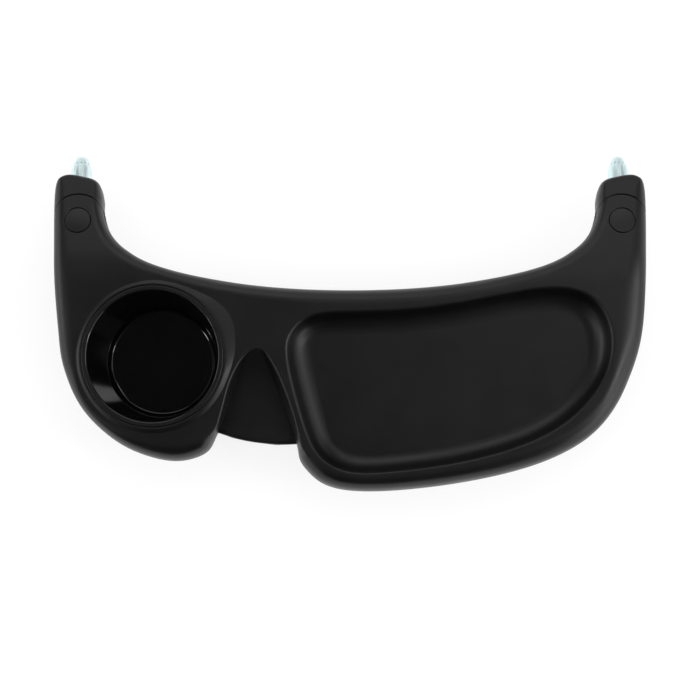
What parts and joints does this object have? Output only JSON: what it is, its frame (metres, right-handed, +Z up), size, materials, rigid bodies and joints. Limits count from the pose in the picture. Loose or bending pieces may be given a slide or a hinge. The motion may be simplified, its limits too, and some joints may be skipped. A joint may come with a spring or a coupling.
{
  "type": "pushchair snack tray",
  "caption": "Crescent-shaped moulded tray with a lift-out cup liner, a snack well and a front scoop; swivelling ends with steel prongs plug into a pushchair.",
  "frame": {"origin": "middle of the overall box, at the level of the cup liner's underside", "axes": "+X runs across the tray from the cup to the snack well, +Y runs back along the arms towards the prongs, +Z is up"},
  "size_m": [0.4045, 0.2302, 0.0725],
  "materials": {
    "satin_black": "satin, fine moulded grain",
    "gloss_black": "polished",
    "prong_steel": "bright nickel plated",
    "zinc_steel": "zinc plated",
    "nylon": "plain nylon"
  },
  "bodies": {
    "tray": {"tray_top": "satin_black", "base_cover": "satin_black", "cover_screw_1": "zinc_steel", "cover_screw_2": "zinc_steel", "cover_screw_3": "zinc_steel", "cover_screw_4": "zinc_steel", "cover_screw_5": "zinc_steel", "cover_screw_6": "zinc_steel", "cover_screw_7": "zinc_steel", "cover_screw_8": "zinc_steel", "left_pivot_screw": "zinc_steel", "left_pivot_nut": "zinc_steel", "left_pivot_cap": "satin_black", "left_pivot_sleeve": "zinc_steel", "left_wave_washer": "zinc_steel", "left_friction_washer": "nylon", "right_pivot_screw": "zinc_steel", "right_pivot_nut": "zinc_steel", "right_pivot_cap": "satin_black", "right_pivot_sleeve": "zinc_steel", "right_wave_washer": "zinc_steel", "right_friction_washer": "nylon"},
    "left_end": {"left_connector": "satin_black", "left_prong": "prong_steel", "left_cross_pin": "zinc_steel"},
    "right_end": {"right_connector": "satin_black", "right_prong": "prong_steel", "right_cross_pin": "zinc_steel"},
    "cup": {"cup_liner": "gloss_black"}
  },
  "joints": [
    {"name": "left_end_swivel", "type": "hinge", "parent": "tray", "child": "left_end", "pos_m": [-0.1843, 0.06452, 0.04623], "axis": [0, 0.2079, 0.9781], "range_deg": [-30, 30]},
    {"name": "right_end_swivel", "type": "hinge", "parent": "tray", "child": "right_end", "pos_m": [0.1843, 0.06452, 0.04623], "axis": [0, -0.2079, -0.9781], "range_deg": [-30, 30]},
    {"name": "cup_lift", "type": "slide", "parent": "tray", "child": "cup", "axis": [0, 0, 1], "range_m": [0, 0.08]}
  ]
}
